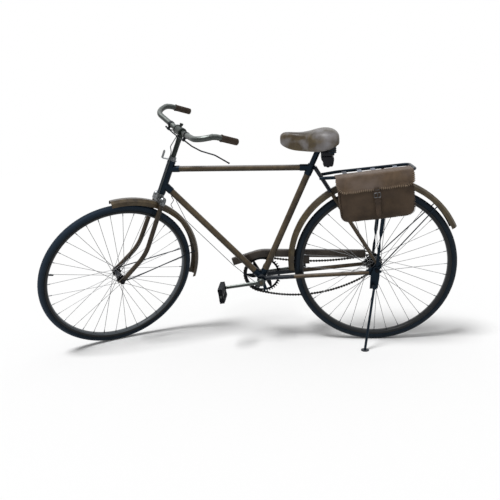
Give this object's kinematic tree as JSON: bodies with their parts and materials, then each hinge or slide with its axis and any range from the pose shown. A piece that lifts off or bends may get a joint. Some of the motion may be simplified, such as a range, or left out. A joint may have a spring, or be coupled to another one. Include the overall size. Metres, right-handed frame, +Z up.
{
  "type": "roadster bicycle",
  "caption": "Old roadster bicycle leaning on its side stand, with a lugged diamond frame, rear carrier and one leather pannier.",
  "frame": {"origin": "on the ground, under the middle of the parked bicycle's bounding box", "axes": "+Z up, +X rearwards along the bicycle, +Y to its chain side; it leans towards -Y on its stand"},
  "size_m": [1.8178, 0.4936, 1.1135],
  "materials": {
    "olive_paint": "worn semi-gloss enamel",
    "dark_paint": "worn blue-black enamel",
    "nickel": "worn nickel plate",
    "steel": "dull steel",
    "strip_paint": "worn pale blue-grey enamel",
    "chain_steel": "oiled dark steel",
    "rim_steel": "dulled dark rim enamel",
    "tyre": "matt black rubber",
    "grip_rubber": "brown rubber",
    "pedal_rubber": "blue-grey rubber",
    "pedal_steel": "dull steel",
    "saddle_leather": "olive-brown leather",
    "bag_leather": "dark brown leather",
    "flap_leather": "worn lighter leather",
    "black_leather": "black leather"
  },
  "bodies": {
    "frame": {"head_tube": "dark_paint", "top_tube": "olive_paint", "down_tube": "olive_paint", "seat_tube": "olive_paint", "head_lugs": "dark_paint", "seat_lug": "dark_paint", "bottom_bracket": "dark_paint", "chain_stays": "olive_paint", "seat_stays": "olive_paint", "rear_dropouts": "dark_paint", "rear_axle": "steel", "rear_mudguard": "olive_paint", "rear_mudguard_stays": "dark_paint", "steering_spring": "dark_paint", "rear_brake_rod": "dark_paint", "bracket_tab": "dark_paint", "chain": "chain_steel", "rear_sprocket": "steel", "chain_guard": "olive_paint", "rack_frame": "dark_paint", "rack_strips": "strip_paint", "rack_legs": "dark_paint", "pannier_body": "bag_leather", "pannier_flap": "flap_leather", "pannier_strap": "bag_leather", "saddle_cover": "saddle_leather", "seat_post": "dark_paint", "saddle_frame": "dark_paint", "tool_pouch": "black_leather", "stand_bracket": "dark_paint"},
    "steering": {"fork_crown": "dark_paint", "fork_blades": "olive_paint", "front_axle": "steel", "stem": "dark_paint", "handlebar": "nickel", "grips": "grip_rubber", "front_mudguard": "olive_paint", "front_mudguard_stays": "dark_paint", "brake_levers": "nickel", "brake_clamps": "nickel", "brake_rods": "nickel", "lamp_bracket": "nickel", "front_brake_rod": "nickel"},
    "front_wheel": {"front_tyre": "tyre", "front_rim": "rim_steel", "front_hub": "nickel", "front_spokes": "steel"},
    "rear_wheel": {"rear_tyre": "tyre", "rear_rim": "rim_steel", "rear_hub": "nickel", "rear_spokes": "steel"},
    "cranks": {"crank_axle": "olive_paint", "chainring": "steel", "left_crank": "dark_paint", "right_crank": "dark_paint"},
    "left_pedal": {"left_pedal": "pedal_steel", "left_pedal_rubbers": "pedal_rubber"},
    "right_pedal": {"right_pedal": "pedal_steel", "right_pedal_rubbers": "pedal_rubber"},
    "stand": {"stand_leg": "dark_paint"}
  },
  "joints": [
    {"name": "steering_turn", "type": "hinge", "parent": "frame", "child": "steering", "pos_m": [-0.35526, -0.02132, 0.77475], "axis": [0.3979, -0.118, 0.9098], "range_deg": [-96.54, 23.46]},
    {"name": "front_wheel_turn", "type": "hinge", "parent": "steering", "child": "front_wheel", "pos_m": [-0.60705, -0.0076, 0.33708], "axis": [-0.5462, 0.7663, 0.3383], "continuous": true},
    {"name": "rear_wheel_turn", "type": "hinge", "parent": "frame", "child": "rear_wheel", "pos_m": [0.55341, 0.03332, 0.35351], "axis": [0, 0.9917, 0.1286], "continuous": true},
    {"name": "crank_turn", "type": "hinge", "parent": "frame", "child": "cranks", "pos_m": [0.04893, 0.0396, 0.30508], "axis": [0, 0.9917, 0.1286], "continuous": true},
    {"name": "left_pedal_turn", "type": "hinge", "parent": "cranks", "child": "left_pedal", "pos_m": [-0.11951, -0.0229, 0.27382], "axis": [0, 0.9917, 0.1286], "continuous": true},
    {"name": "right_pedal_turn", "type": "hinge", "parent": "cranks", "child": "right_pedal", "pos_m": [0.21737, 0.1021, 0.33635], "axis": [0, 0.9917, 0.1286], "continuous": true},
    {"name": "stand_fold", "type": "hinge", "parent": "frame", "child": "stand", "pos_m": [0.53973, -0.05089, 0.27194], "axis": [-0.0011, -0.9946, 0.1035], "range_deg": [0, 100]}
  ]
}
